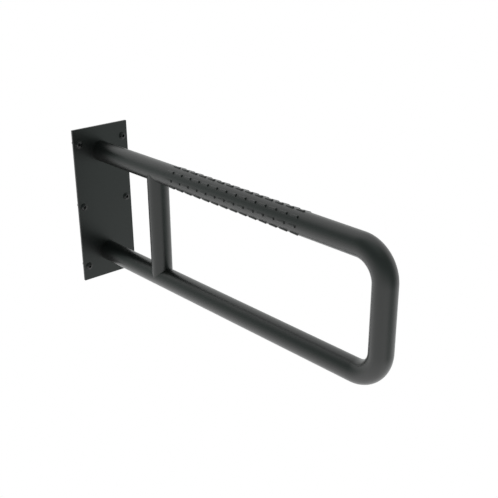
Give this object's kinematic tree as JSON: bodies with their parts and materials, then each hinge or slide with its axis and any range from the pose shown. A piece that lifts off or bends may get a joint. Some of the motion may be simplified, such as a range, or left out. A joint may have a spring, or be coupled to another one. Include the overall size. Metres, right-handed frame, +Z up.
{
  "type": "wall-mounted grab bar",
  "caption": "Wall-mounted grab bar: a U-bent tube on a rectangular screwed wall plate, with an upright tube between its rails and a grip zone of raised ribs on the upper rail.",
  "frame": {"origin": "centre of the wall plate's back face, where it meets the wall", "axes": "+X away from the wall along the rails, +Z up the wall, +Y across the wall"},
  "size_m": [0.6184, 0.1, 0.25],
  "materials": {
    "coated_steel": "satin black powder coat on welded steel",
    "screw_black": "black finished steel screws"
  },
  "bodies": {
    "root": {"wall_plate": "coated_steel", "rail_tube": "coated_steel", "brace_tube": "coated_steel", "wall_screw_top_left": "screw_black", "wall_screw_top_right": "screw_black", "wall_screw_middle_left": "screw_black", "wall_screw_middle_right": "screw_black", "wall_screw_bottom_left": "screw_black", "wall_screw_bottom_right": "screw_black"}
  },
  "joints": []
}
